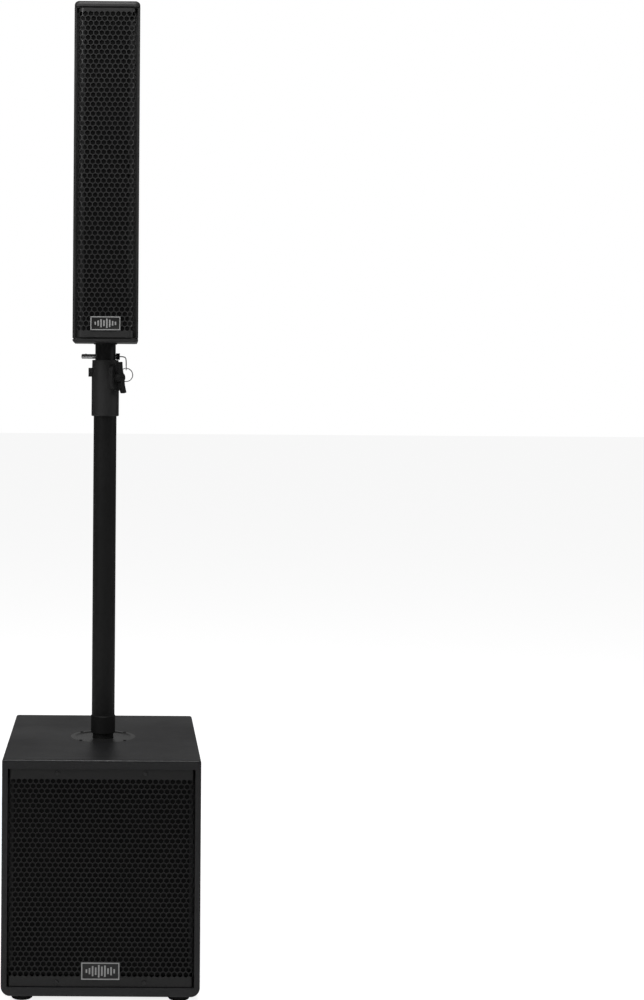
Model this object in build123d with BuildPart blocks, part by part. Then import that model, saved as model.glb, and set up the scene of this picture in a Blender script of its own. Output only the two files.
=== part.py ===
from build123d import *
import os

# Column PA stack in millimetres: a subwoofer cabinet, a telescopic pole and a slim column speaker.
# +Z is up, both grilles face -Y, and the origin is on the floor under the middle of the cabinet.

os.makedirs("parts", exist_ok=True)

# Subwoofer cabinet
cabinet_w, cabinet_d, cabinet_h = 318.0, 400.0, 378.0
foot_h, foot_r, foot_edge_r = 10.0, 17.8, 2.5
foot_x, foot_y = 126.0, 171.0
board = 15.0
top_corner_r, bottom_corner_r = 4.0, 15.0
front_edge_r = 3.5
rear_inset = 10.0
baffle_setback = 22.0
rail_rebate = 5.5

# Grilles
sheet = 1.2
sub_grille_w = 297.0
sub_grille_setback = 3.0
sub_bend_r = 5.0
grille_end_gap = 0.7
plain_strip = 12.0
foam_t = 4.0

# Subwoofer driver and ports
woofer_r = 131.0
woofer_cutout_r = 116.0
woofer_bolt_r = 2.4
port_r = 31.0
port_wall = 2.5
port_length = 170.0
port_x = 98.0

# Amplifier panel at the back
amp_w, amp_h, amp_t = 250.0, 290.0, 3.0

# Side handles
handle_w, handle_h, handle_depth = 160.0, 76.0, 42.0
handle_drop = 118.0
handle_wall = 3.0
handle_lip, handle_lip_t = 10.0, 2.6
handle_bar_r, handle_bar_drop = 9.0, 16.0

# Pole
spigot_r = 17.5
running_gap = 0.08
fixed_gap = 0.05
socket_depth = 72.0
socket_screw_ring = 52.2
tube_r, tube_wall = 19.5, 1.5
spigot_shown = 6.5
dish_depth = 1.5
tube_length = 593.5
ferrule_r, ferrule_h = 20.6, 30.0
mast_r, mast_wall = 17.5, 1.8
mast_length = 638.0
hole_pitch, hole_count = 60.0, 7

# Collar, clamp and safety pin
sleeve_h, cap_h = 66.5, 29.0
bush_h = 38.0
mast_shown = 29.0
sleeve_r = 23.35
cap_low_r, cap_high_r = 23.2, 22.5
clamp_turn = -45.0
boss_h, boss_w, boss_reach = 46.0, 24.0, 29.0
knob_hub_r, knob_span, knob_reach = 8.5, 54.0, 44.0
knob_tilt = 11.0
screw_r = 4.0
pin_r, pin_lift = 4.0, 6.0
pin_left, pin_head_x = -41.0, 18.0
ring_r, ring_wire_r = 11.2, 0.8
ring_eye_x, ring_eye_drop = 35.4, 20.0

# Column speaker
column_w, column_d, column_h = 110.0, 122.0, 571.0
top_cap_h, bottom_cap_h = 10.0, 5.0
neck_h, neck_inset = 2.2, 2.5
shell_wall = 4.0
shell_edge_r = 8.0
column_grille_w, column_bend_r = 96.0, 9.5
cup_r, cup_depth = 21.0, 68.0

# Places worked out from the sizes above
floor_of_cabinet = foot_h
cabinet_top = foot_h + cabinet_h
cabinet_mid = foot_h + cabinet_h / 2
inner_bottom = foot_h + board
inner_top = cabinet_top - board
inner_h = inner_top - inner_bottom
inner_mid = (inner_top + inner_bottom) / 2
front = -cabinet_d / 2
back = cabinet_d / 2
inner_x = cabinet_w / 2 - board
baffle_front = front + baffle_setback
baffle_back = baffle_front + board
rear_face = back - rear_inset
woofer_z = inner_top - 8.0 - woofer_r
port_z = inner_bottom + 37.0
amp_face = rear_face + amp_t
handle_z = cabinet_top - handle_drop
socket_bottom = cabinet_top - socket_depth
dish_z = cabinet_top - dish_depth
tube_bottom = cabinet_top + spigot_shown
tube_top = tube_bottom + tube_length
collar_top = tube_top + bush_h + 3.0
sleeve_top = collar_top - cap_h
sleeve_bottom = sleeve_top - sleeve_h
clamp_z = sleeve_top - 1.0
pin_z = collar_top + pin_lift
ring_eye_z = pin_z - ring_eye_drop
column_bottom = collar_top + mast_shown
column_top = column_bottom + column_h
column_mid = (column_bottom + column_top) / 2
mast_top = column_bottom + cup_depth
mast_bottom = mast_top - mast_length
column_front = -column_d / 2
column_back = column_d / 2
shell_bottom = column_bottom + bottom_cap_h + neck_h
shell_top = column_top - top_cap_h - neck_h
shell_inner_x = column_w / 2 - shell_wall
column_baffle_front = column_front + 11.0
underside = Plane((0, 0, 0), x_dir=(1, 0, 0), z_dir=(0, 0, -1))
foot_places = [(x, y) for x in (-foot_x, foot_x) for y in (-foot_y, foot_y)]
socket_screw_places = [(ring.position.X, ring.position.Y)
                       for ring in PolarLocations(socket_screw_ring, 4, start_angle=45).locations]
plate_screw_places = [(x, inner_mid + z) for x in (-117.0, 117.0) for z in (-137.0, 0, 137.0)]
handle_screw_places = [(y, handle_z + z) for y in (-83.5, 83.5) for z in (-26.0, 26.0)]
connector_z = shell_bottom + 150.0
horn_z = column_mid
driver_cutout_r = 39.0
driver_places = [(0, horn_z + side * (48.0 + 44.0 + step * 92.0)) for side in (-1, 1) for step in (0, 1)]
clamp_plane = Plane((0, 0, clamp_z), x_dir=(0, 0, 1),
                    z_dir=Vector(1, 0, 0).rotate(Axis.Z, clamp_turn))


def save(part, name):
    """Label a finished piece and write it as its own node."""
    part.label = name
    export_step(part, f"parts/{name}.step")


def facing(direction, distance):
    """Upright plane that faces out along +X, -X, +Y or -Y, with its own Y pointing up."""
    out = Vector(*direction)
    return Plane(out * distance, x_dir=Vector(0, 0, 1).cross(out), z_dir=out)


def screw_group(plane, places, head_r, head_h, shank_r, shank_l):
    """Identical screws: tapered heads standing on the plane, shanks going in behind it."""
    with BuildPart() as screws:
        with BuildSketch(plane):
            with Locations(*places):
                Circle(head_r)
        extrude(amount=head_h, taper=18)
        with BuildSketch(plane):
            with Locations(*places):
                Circle(shank_r)
        extrude(amount=-shank_l)
    return screws.part


def screw_holes(plane, places, radius, depth):
    """The holes that a group of screws goes into, to be taken out of a board."""
    with BuildPart() as holes:
        with BuildSketch(plane):
            with Locations(*places):
                Circle(radius)
        extrude(amount=-depth)
    return holes.part


# ---------------------------------------------------------------- cabinet boards

with BuildPart() as cabinet_block:
    with BuildSketch(Plane.XZ.offset(-front)) as cabinet_outline:
        with Locations((0, cabinet_mid)):
            Rectangle(cabinet_w, cabinet_h)
        fillet(cabinet_outline.vertices().group_by(Axis.Y)[-1], top_corner_r)
        fillet(cabinet_outline.vertices().group_by(Axis.Y)[0], bottom_corner_r)
    extrude(amount=-cabinet_d)
    fillet(cabinet_block.faces().sort_by(Axis.Y)[0].edges(), front_edge_r)
    fillet(cabinet_block.faces().sort_by(Axis.Y)[-1].edges(), front_edge_r)

with BuildPart() as sub_top_panel:
    add(cabinet_block.part)
    with Locations((0, 0, cabinet_top - board / 2)):
        Box(cabinet_w, cabinet_d, board, mode=Mode.INTERSECT)
    with Locations((0, 0, cabinet_top)):
        CounterBoreHole(radius=49.7, counter_bore_radius=55.2, counter_bore_depth=3.0, depth=board)
    add(screw_holes(Plane.XY.offset(cabinet_top), socket_screw_places, 1.9, 14.0), mode=Mode.SUBTRACT)
save(sub_top_panel.part, "sub_top_panel")

with BuildPart() as sub_bottom_panel:
    add(cabinet_block.part)
    with Locations((0, 0, floor_of_cabinet + board / 2)):
        Box(cabinet_w, cabinet_d, board, mode=Mode.INTERSECT)
    add(screw_holes(underside.offset(-foot_h), foot_places, 2.1, 13.0), mode=Mode.SUBTRACT)
save(sub_bottom_panel.part, "sub_bottom_panel")


def side_panel(side):
    """Side board between top and bottom, rebated for the grille, with the handle's cut-out."""
    rebate_x = side * (inner_x + rail_rebate / 2)
    with BuildPart() as panel:
        add(cabinet_block.part)
        with Locations((side * (cabinet_w - board) / 2, 0, inner_mid)):
            Box(board, cabinet_d, inner_h, mode=Mode.INTERSECT)
        with Locations((rebate_x, front + baffle_setback / 2, inner_mid)):
            Box(rail_rebate, baffle_setback, inner_h, mode=Mode.SUBTRACT)
        with BuildSketch(facing((side, 0, 0), cabinet_w / 2)):
            with Locations((0, handle_z)):
                RectangleRounded(handle_w + 1.0, handle_h + 1.0, 14.5)
        extrude(amount=-board, mode=Mode.SUBTRACT)
        with BuildSketch(facing((side, 0, 0), cabinet_w / 2)):
            with Locations((0, handle_z)):
                RectangleRounded(handle_w + 2 * handle_lip, handle_h + 2 * handle_lip, 20.0)
        extrude(amount=-handle_lip_t, mode=Mode.SUBTRACT)
        add(screw_holes(facing((side, 0, 0), cabinet_w / 2), handle_screw_places, 1.8, 12.6),
            mode=Mode.SUBTRACT)
    return panel.part


save(side_panel(-1), "sub_left_panel")
save(side_panel(1), "sub_right_panel")

with BuildPart() as sub_rear_panel:
    with Locations((0, rear_face - board / 2, inner_mid)):
        Box(2 * inner_x, board, inner_h)
    with Locations((0, rear_face - board / 2, inner_mid)):
        Box(amp_w - 24.0, board, amp_h - 24.0, mode=Mode.SUBTRACT)
    add(screw_holes(facing((0, 1, 0), rear_face), plate_screw_places, 1.8, board), mode=Mode.SUBTRACT)
save(sub_rear_panel.part, "sub_rear_panel")

grille_screw_places = [(x, z) for z in (inner_bottom + 7.5, inner_top - 6.5) for x in (-70.0, 70.0)]
woofer_screw_ring = PolarLocations(123.0, 8, start_angle=22.5).locations
woofer_screw_places = [(ring.position.X, woofer_z + ring.position.Y) for ring in woofer_screw_ring]

with BuildPart() as sub_front_baffle:
    with Locations((0, baffle_front + board / 2, inner_mid)):
        Box(2 * inner_x, board, inner_h)
    with BuildSketch(Plane.XZ.offset(-baffle_front)):
        with Locations((0, woofer_z)):
            Circle(woofer_cutout_r)
        with Locations((-port_x, port_z), (port_x, port_z)):
            Circle(port_r)
    extrude(amount=-board, mode=Mode.SUBTRACT)
    add(screw_holes(facing((0, -1, 0), -baffle_front), grille_screw_places, 1.9 + fixed_gap, board),
        mode=Mode.SUBTRACT)
    add(screw_holes(facing((0, -1, 0), -baffle_front), woofer_screw_places, woofer_bolt_r + fixed_gap,
                    board), mode=Mode.SUBTRACT)
save(sub_front_baffle.part, "sub_front_baffle")

with BuildPart() as sub_port_tubes:
    with BuildSketch(Plane.XZ.offset(-baffle_front)):
        with Locations((-port_x, port_z), (port_x, port_z)):
            Circle(port_r - fixed_gap)
            Circle(port_r - port_wall, mode=Mode.SUBTRACT)
    extrude(amount=-port_length)
save(sub_port_tubes.part, "sub_port_tubes")

# ---------------------------------------------------------------- subwoofer grille

grille_face = front + sub_grille_setback
grille_h = inner_h - 2 * grille_end_gap


def bent_grille(width, face_y, foot_y, radius, low_z, high_z):
    """Steel sheet with both long sides bent back, as an upright U section."""
    depth = foot_y - face_y
    with BuildPart() as grille:
        with BuildSketch(Plane.XY.offset(low_z)):
            with Locations((0, face_y + depth / 2)):
                outline = Rectangle(width, depth)
            fillet(outline.vertices().group_by(Axis.Y)[0], radius)
            with BuildSketch(mode=Mode.PRIVATE) as hollow:
                with Locations((0, face_y + sheet + depth / 2)):
                    inside = Rectangle(width - 2 * sheet, depth)
                fillet(inside.vertices().group_by(Axis.Y)[0], radius - sheet)
            add(hollow.sketch, mode=Mode.SUBTRACT)
        extrude(amount=high_z - low_z)
    return grille.part


with BuildPart() as sub_grille:
    add(bent_grille(sub_grille_w, grille_face, baffle_front, sub_bend_r,
                    inner_bottom + grille_end_gap, inner_top - grille_end_gap))
    with BuildSketch(Plane.XZ.offset(-grille_face)):
        with Locations(*grille_screw_places):
            Circle(2.2)
    extrude(amount=-sheet, mode=Mode.SUBTRACT)
save(sub_grille.part, "sub_grille")

with BuildPart() as sub_grille_foam:
    with Locations((0, grille_face + sheet + 0.2 + foam_t / 2, inner_mid + 1.5)):
        Box(sub_grille_w - 16.0, foam_t, grille_h - 2 * plain_strip - 9.0)
save(sub_grille_foam.part, "sub_grille_foam")


save(screw_group(facing((0, -1, 0), -grille_face), grille_screw_places, 3.6, 1.8, 1.9, 34.0),
     "sub_grille_screws")


def badge(width, height, centre_z, face_y):
    """Small name-plate blank with a raised border, standing on the grille."""
    with BuildPart() as plate:
        with BuildSketch(Plane.XZ.offset(-face_y)):
            with Locations((0, centre_z)):
                RectangleRounded(width, height, 1.5)
        extrude(amount=1.2)
        with BuildSketch(Plane.XZ.offset(-face_y + 1.2)):
            with Locations((0, centre_z)):
                RectangleRounded(width, height, 1.5)
                RectangleRounded(width - 2.4, height - 2.4, 0.6, mode=Mode.SUBTRACT)
        extrude(amount=0.5)
    return plate.part


save(badge(61.0, 27.5, inner_bottom + 26.0, grille_face), "sub_badge")

# ---------------------------------------------------------------- woofer

def turned(outline, face_y, centre_z):
    """Revolve an outline of (radius, depth behind the face) points about a driver's axis."""
    with BuildPart() as body:
        with BuildSketch(Plane.XY.offset(centre_z)):
            with BuildLine():
                Polyline(*[(radius, face_y + depth) for radius, depth in outline], close=True)
            make_face()
        revolve(axis=Axis((0, 0, centre_z), (0, 1, 0)))
    return body.part


woofer_face = baffle_front - 4.0

with BuildPart() as woofer_basket:
    add(turned([(104.0, 0.0), (woofer_r, 0.0), (woofer_r, 4.0), (114.5, 4.0), (114.5, 12.0), (64.0, 84.0),
                (64.0, 90.0), (40.0, 90.0), (40.0, 86.0), (60.0, 86.0), (60.0, 83.0), (110.0, 11.5),
                (110.0, 4.0), (104.0, 4.0)], woofer_face, woofer_z))
    with BuildSketch(facing((0, -1, 0), -(woofer_face + 85.5))):
        with Locations((0, woofer_z)):
            with PolarLocations(90.0, 6):
                Rectangle(34.0, 38.0)
    extrude(amount=70.0, mode=Mode.SUBTRACT)
    add(screw_holes(facing((0, -1, 0), -woofer_face), woofer_screw_places, woofer_bolt_r + fixed_gap, 5.0),
        mode=Mode.SUBTRACT)
save(woofer_basket.part, "woofer_basket")

save(turned([(96.3, 1.5), (98.0, -1.5), (101.0, -5.0), (105.0, -6.0), (109.0, -5.0), (112.0, -1.5),
             (113.5, 0.0), (111.0, 0.0), (109.6, -2.0), (107.0, -4.0), (105.0, -4.6), (103.0, -4.0),
             (100.4, -2.0), (98.0, 1.5)], woofer_face, woofer_z), "woofer_surround")

save(turned([(0.0, 42.0), (0.0, 40.0), (20.0, 41.5), (38.0, 49.0), (95.9, 1.5), (95.9, 4.0),
             (33.0, 56.0), (33.0, 100.0), (31.8, 100.0), (31.8, 51.0), (20.0, 43.5)],
            woofer_face, woofer_z), "woofer_cone")

save(turned([(33.8, 90.0), (60.0, 90.0), (60.0, 98.0), (75.0, 98.0), (75.0, 120.0), (60.0, 120.0),
             (60.0, 128.0), (8.0, 128.0), (8.0, 90.0), (31.0, 90.0), (31.0, 116.0), (33.8, 116.0)],
            woofer_face, woofer_z), "woofer_magnet")

save(screw_group(facing((0, -1, 0), -woofer_face), woofer_screw_places, 4.2, 2.5, woofer_bolt_r, 17.0),
     "woofer_screws")

# ---------------------------------------------------------------- pole socket in the top

with BuildPart() as pole_socket:
    with BuildSketch(Plane.XZ) as socket_section:
        with BuildLine():
            Polyline((spigot_r + running_gap, socket_bottom), (spigot_r + running_gap, dish_z - 1.0),
                     (spigot_r + 1.1, dish_z), (45.5, dish_z), (48.5, cabinet_top), (55.0, cabinet_top),
                     (55.0, cabinet_top - 3.0), (49.5, cabinet_top - 3.0), (46.5, dish_z - 2.5),
                     (23.5, dish_z - 2.5), (22.0, dish_z - 4.0), (22.0, socket_bottom - 4.0),
                     (0, socket_bottom - 4.0), (0, socket_bottom), close=True)
        make_face()
    revolve(axis=Axis.Z)
    with Locations((0, 0, cabinet_top)):
        with PolarLocations(socket_screw_ring, 4, start_angle=45):
            Hole(radius=1.9, depth=3.2)
save(pole_socket.part, "pole_socket")

# ---------------------------------------------------------------- feet

with BuildPart() as sub_feet:
    with BuildSketch(Plane.XY.offset(floor_of_cabinet)):
        with Locations(*foot_places):
            Circle(foot_r)
    extrude(amount=-foot_h, taper=4)
    fillet(sub_feet.edges().group_by(Axis.Z)[0], foot_edge_r)
    add(screw_holes(underside, foot_places, 5.5, 3.0), mode=Mode.SUBTRACT)
    add(screw_holes(underside, foot_places, 2.1, foot_h), mode=Mode.SUBTRACT)
save(sub_feet.part, "sub_feet")

# ---------------------------------------------------------------- side handles


def pocket_handle(side):
    """Moulded pocket with a lip let into the side board and a bar across its upper half."""
    outer = facing((side, 0, 0), cabinet_w / 2 - 0.2)
    with BuildPart() as handle:
        with BuildSketch(outer):
            with Locations((0, handle_z)):
                RectangleRounded(handle_w + 2 * handle_lip - 0.8, handle_h + 2 * handle_lip - 0.8, 19.6)
        extrude(amount=-(handle_lip_t - 0.3))
        with BuildSketch(outer):
            with Locations((0, handle_z)):
                RectangleRounded(handle_w, handle_h, 14.0)
        extrude(amount=-handle_depth)
        with BuildSketch(outer):
            with Locations((0, handle_z)):
                RectangleRounded(handle_w - 2 * handle_wall, handle_h - 2 * handle_wall, 11.0)
        extrude(amount=-(handle_depth - handle_wall), mode=Mode.SUBTRACT)
        with BuildSketch(Plane.XZ.offset(-(handle_w / 2 - handle_wall / 2))):
            with Locations((side * (cabinet_w / 2 - 12.0), handle_z + handle_bar_drop)):
                Circle(handle_bar_r)
        extrude(amount=handle_w - handle_wall)
        add(screw_holes(outer, handle_screw_places, 3.5, 1.4), mode=Mode.SUBTRACT)
        add(screw_holes(outer, handle_screw_places, 1.8, handle_lip_t), mode=Mode.SUBTRACT)
    return handle.part


save(pocket_handle(-1), "left_handle")
save(pocket_handle(1), "right_handle")

with BuildPart() as cabinet_screws:
    add(screw_group(Plane.XY.offset(cabinet_top), socket_screw_places, 2.7, 0.9, 1.9, 14.0))
    for side in (-1, 1):
        add(screw_group(facing((side, 0, 0), cabinet_w / 2 - 1.6), handle_screw_places,
                        3.3, 1.4, 1.8, 11.0))
save(cabinet_screws.part, "cabinet_screws")

# ---------------------------------------------------------------- amplifier panel

# Places on the panel are (x, z) with x counted along -X, the way they read from behind.
behind = facing((0, 1, 0), amp_face)
control_left, control_right = -84.0, -28.0
sink_x, sink_w, sink_h = 60.0, 88.0, 236.0
combo_z, output_z = inner_mid + 29.0, inner_mid - 35.0
knob_z, indicator_z, mains_z = inner_mid + 112.0, inner_mid + 79.0, inner_mid - 113.0
inlet_x, rocker_x = -38.0, -84.0
rocker_half, rocker_pin_r = 10.8, 1.5
rocker_pivot = (-rocker_x, amp_face - 6.0, mains_z)
barrel_r, barrel_l, flange_w, flange_h = 11.8, 24.0, 26.0, 31.0
connector_places = [(x, z) for z in (combo_z, output_z) for x in (control_left, control_right)]
led_places = [(x, indicator_z) for x in (-18.0, -30.0, -42.0)]
connector_screw_places = [(x + dx, z + dz) for x, z in connector_places
                          for dx, dz in ((-9.5, 12.0), (9.5, -12.0))]

with BuildPart() as amp_plate:
    with BuildSketch(behind):
        with Locations((0, inner_mid)):
            RectangleRounded(amp_w, amp_h, 4.0)
        with Locations((sink_x, inner_mid)):
            RectangleRounded(sink_w, sink_h, 3.0, mode=Mode.SUBTRACT)
        with Locations(*connector_places):
            Circle(barrel_r + fixed_gap, mode=Mode.SUBTRACT)
        with Locations(*led_places):
            Circle(1.6, mode=Mode.SUBTRACT)
        with Locations((control_left, indicator_z)):
            Circle(4.1, mode=Mode.SUBTRACT)
        with Locations((control_left, knob_z), (control_right, knob_z)):
            Circle(3.6, mode=Mode.SUBTRACT)
        with Locations((inlet_x, mains_z)):
            Rectangle(28.0, 21.0, mode=Mode.SUBTRACT)
        with Locations((rocker_x, mains_z)):
            Rectangle(19.0, 28.0, mode=Mode.SUBTRACT)
    extrude(amount=-amp_t)
    add(screw_holes(behind, plate_screw_places, 1.8, amp_t), mode=Mode.SUBTRACT)
    add(screw_holes(behind, connector_screw_places, 1.4, amp_t), mode=Mode.SUBTRACT)
save(amp_plate.part, "amp_plate")

with BuildPart() as amp_plate_screws:
    add(screw_group(behind, plate_screw_places, 3.3, 1.8, 1.8, 15.0))
    add(screw_group(behind.offset(2.0), connector_screw_places, 2.6, 1.3, 1.4, 6.0))
save(amp_plate_screws.part, "amp_plate_screws")

with BuildPart() as amp_heatsink:
    with BuildSketch(behind.offset(-amp_t)):
        with Locations((sink_x, inner_mid)):
            Rectangle(sink_w + 12.0, sink_h + 12.0)
    extrude(amount=-8.0)
    with BuildSketch(behind.offset(-amp_t)):
        with Locations((sink_x, inner_mid)):
            with GridLocations(9.0, 1.0, 9, 1):
                Rectangle(2.6, sink_h - 4.0)
    extrude(amount=amp_t + 5.6)
save(amp_heatsink.part, "amp_heatsink")

with BuildPart() as amp_circuit_board:
    with Locations((62.0, 150.0, inner_mid + 8.0)):
        Box(96.0, 1.6, 210.0)
    with Locations((84.0, 139.2, inner_mid + 57.0), (44.0, 139.2, inner_mid + 57.0),
                   (84.0, 139.2, inner_mid + 12.0)):
        Cylinder(11.0, 20.0, rotation=(90, 0, 0))
    with Locations((62.0, 141.2, inner_mid - 43.0)):
        Box(60.0, 16.0, 44.0)
save(amp_circuit_board.part, "amp_circuit_board")


def panel_connectors(centre_z, mouth_r, mouth_depth, post_r):
    """Pair of flanged panel sockets, each a round mouth with a post standing in its middle."""
    places = [(x, centre_z) for x in (control_left, control_right)]
    holes = [(x, z) for x, z in connector_screw_places if abs(z - centre_z) < flange_h / 2]
    with BuildPart() as pair:
        with BuildSketch(behind):
            with Locations(*places):
                RectangleRounded(flange_w, flange_h, 3.0)
        extrude(amount=2.0)
        with BuildSketch(behind):
            with Locations(*places):
                Circle(barrel_r)
        extrude(amount=-barrel_l)
        with BuildSketch(behind.offset(2.0)):
            with Locations(*places):
                Circle(mouth_r)
        extrude(amount=-mouth_depth, mode=Mode.SUBTRACT)
        with BuildSketch(behind.offset(2.0 - mouth_depth)):
            with Locations(*places):
                Circle(post_r)
        extrude(amount=mouth_depth - 3.0)
        add(screw_holes(behind.offset(2.0), holes, 1.4, 2.0), mode=Mode.SUBTRACT)
    return pair.part


with BuildPart() as combo_inputs:
    add(panel_connectors(combo_z, 9.6, 16.0, 6.6))
    with BuildSketch(behind.offset(-1.0)):
        with Locations((control_left, combo_z), (control_right, combo_z)):
            Circle(3.3)
    extrude(amount=-16.0, mode=Mode.SUBTRACT)
save(combo_inputs.part, "combo_inputs")
save(panel_connectors(output_z, 9.6, 16.0, 4.0), "speaker_outputs")

with BuildPart() as mains_module:
    with BuildSketch(behind):
        with Locations(((inlet_x + rocker_x) / 2, mains_z)):
            RectangleRounded(92.0, 36.0, 4.0)
    extrude(amount=2.2)
    with BuildSketch(behind):
        with Locations((inlet_x, mains_z)):
            Rectangle(27.6, 20.6)
        with Locations((rocker_x, mains_z)):
            Rectangle(18.8, 27.8)
    extrude(amount=-22.0)
    with BuildSketch(behind.offset(2.2)):
        with Locations((inlet_x, mains_z)):
            Rectangle(24.4, 16.6)
        with Locations((rocker_x, mains_z)):
            Rectangle(15.6, 24.6)
    extrude(amount=-17.0, mode=Mode.SUBTRACT)
    with BuildSketch(behind.offset(-14.8)):
        with Locations((inlet_x, mains_z + 2.0), *[(inlet_x + dx, mains_z - 2.0) for dx in (-7.0, 7.0)]):
            Rectangle(2.0, 5.0)
    extrude(amount=12.0)
    with Locations(rocker_pivot):
        Cylinder(rocker_pin_r + running_gap, 18.8, rotation=(0, 90, 0), mode=Mode.SUBTRACT)
save(mains_module.part, "mains_module")

with BuildPart() as power_rocker:
    with BuildSketch(Plane.YZ.offset(-rocker_x + 7.4)):
        with BuildLine():
            Polyline((amp_face - 8.0, mains_z - 7.0), (amp_face - 8.0, mains_z + 7.0),
                     (amp_face - 0.2, mains_z + rocker_half - 0.4), (amp_face + 3.0, mains_z + rocker_half),
                     (amp_face + 1.0, mains_z), (amp_face + 1.8, mains_z - rocker_half),
                     (amp_face - 0.8, mains_z - rocker_half), close=True)
        make_face()
    extrude(amount=-14.8)
    with Locations(rocker_pivot):
        Cylinder(rocker_pin_r, 17.6, rotation=(0, 90, 0))
save(power_rocker.part, "power_rocker")

with BuildPart() as status_leds:
    with BuildSketch(behind.offset(-6.0)):
        with Locations(*led_places):
            Circle(1.5)
    extrude(amount=7.0)
save(status_leds.part, "status_leds")

with BuildPart() as phase_button:
    with BuildSketch(behind.offset(-8.0)):
        with Locations((control_left, indicator_z)):
            Circle(4.0)
    extrude(amount=12.0)
    chamfer(phase_button.faces().sort_by(Axis.Y)[-1].edges(), 0.5)
save(phase_button.part, "phase_button")


def level_knob(place_x):
    """Turned knob with a pointer groove, on a 6 mm spindle through the panel."""
    with BuildPart() as knob:
        with BuildSketch(behind.offset(0.5)):
            with Locations((place_x, knob_z)):
                Circle(9.0)
        extrude(amount=5.6, taper=6)
        with BuildSketch(behind.offset(0.5)):
            with Locations((place_x, knob_z)):
                Circle(3.0)
        extrude(amount=-14.0)
        with BuildSketch(behind.offset(5.3)):
            with Locations((place_x, knob_z + 5.0)):
                Rectangle(1.4, 9.0)
        extrude(amount=2.0, mode=Mode.SUBTRACT)
    return knob.part


save(level_knob(control_left), "sub_level_knob")
save(level_knob(control_right), "column_level_knob")

# ---------------------------------------------------------------- pole


def tube(outer_r, inner_r, low_z, high_z):
    """Plain round tube standing on the pole's axis."""
    with BuildPart() as pipe:
        with BuildSketch(Plane.XY.offset(low_z)):
            Circle(outer_r)
            Circle(inner_r, mode=Mode.SUBTRACT)
        extrude(amount=high_z - low_z)
    return pipe.part


def rod(radius, low_z, high_z):
    """Solid round bar on the pole's axis, also used to clear bores."""
    with BuildPart() as bar:
        with BuildSketch(Plane.XY.offset(low_z)):
            Circle(radius)
        extrude(amount=high_z - low_z)
    return bar.part


with BuildPart() as pole_spigot:
    with BuildSketch(Plane.XY.offset(socket_bottom + 0.3)):
        Circle(spigot_r)
    extrude(amount=tube_bottom - socket_bottom - 0.3)
    chamfer(pole_spigot.faces().sort_by(Axis.Z)[0].edges(), 3.0)
    with BuildSketch(Plane.XY.offset(tube_bottom)):
        Circle(tube_r - tube_wall)
    extrude(amount=50.0)
save(pole_spigot.part, "pole_spigot")

with BuildPart() as pole_tube:
    add(tube(tube_r, tube_r - tube_wall, tube_bottom, tube_top))
save(pole_tube.part, "pole_tube")

with BuildPart() as pole_ferrule:
    add(tube(ferrule_r, tube_r + fixed_gap, tube_bottom, tube_bottom + ferrule_h))
    chamfer(pole_ferrule.edges().filter_by(GeomType.CIRCLE).sort_by(SortBy.RADIUS)[-2:], 0.9)
save(pole_ferrule.part, "pole_ferrule")

with BuildPart() as mast_tube:
    add(tube(mast_r, mast_r - mast_wall, mast_bottom, mast_top))
    with BuildSketch(Plane.YZ.offset(-mast_r)):
        with Locations(*[(0, pin_z - hole_pitch * step) for step in range(hole_count)]):
            Circle(pin_r + running_gap)
    extrude(amount=2 * mast_r, mode=Mode.SUBTRACT)
save(mast_tube.part, "mast_tube")

# ---------------------------------------------------------------- collar and clamp

with BuildPart() as collar_bush:
    add(tube(tube_r, mast_r + running_gap, tube_top, collar_top - 3.0))
    with BuildSketch(clamp_plane):
        Circle(screw_r + 0.1)
    extrude(amount=sleeve_r, mode=Mode.SUBTRACT)
save(collar_bush.part, "collar_bush")

with BuildPart() as collar_sleeve:
    add(tube(sleeve_r, tube_r + fixed_gap, sleeve_bottom, sleeve_top))
    chamfer(collar_sleeve.edges().filter_by(GeomType.CIRCLE).group_by(Axis.Z)[0]
            .sort_by(SortBy.RADIUS)[-1:], 1.2)
    with BuildSketch(clamp_plane.offset(tube_r)):
        RectangleRounded(boss_h, boss_w, boss_w / 2 - 0.5)
    extrude(amount=boss_reach - tube_r)
    add(rod(cap_low_r + 0.2, sleeve_top, collar_top + 5.0), mode=Mode.SUBTRACT)
    add(rod(tube_r + fixed_gap, sleeve_bottom, collar_top), mode=Mode.SUBTRACT)
    with BuildSketch(clamp_plane):
        Circle(screw_r + 0.1)
    extrude(amount=boss_reach, mode=Mode.SUBTRACT)
save(collar_sleeve.part, "collar_sleeve")

with BuildPart() as collar_cap:
    with BuildSketch(Plane.XY.offset(sleeve_top)):
        Circle(cap_low_r)
    with BuildSketch(Plane.XY.offset(collar_top)):
        Circle(cap_high_r)
    loft()
    fillet(collar_cap.faces().sort_by(Axis.Z)[-1].edges(), 1.0)
    add(rod(tube_r + fixed_gap, sleeve_top, collar_top - 3.0), mode=Mode.SUBTRACT)
    add(rod(mast_r + 0.5, sleeve_top, collar_top), mode=Mode.SUBTRACT)
    with Locations((-cap_low_r - 2.3, 0, sleeve_top + 8.0)):
        Box(6.6, 12.0, 15.0)
    with BuildSketch(clamp_plane):
        Circle(screw_r + 0.4)
    extrude(amount=sleeve_r + 1.0, mode=Mode.SUBTRACT)
save(collar_cap.part, "collar_cap")

with BuildPart() as clamp_pad:
    with BuildSketch(clamp_plane.offset(mast_r + 0.15)):
        Circle(screw_r - 0.2)
    extrude(amount=1.6)
save(clamp_pad.part, "clamp_pad")

# The wings lie in a plane through the screw's axis, tilted a little from the vertical.
clamp_line = Axis((0, 0, 0), clamp_plane.z_dir)
wing_plane = Plane(clamp_plane.origin, x_dir=clamp_plane.z_dir,
                   z_dir=clamp_plane.z_dir.cross(Vector(0, 0, 1)).rotate(clamp_line, knob_tilt))

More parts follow.
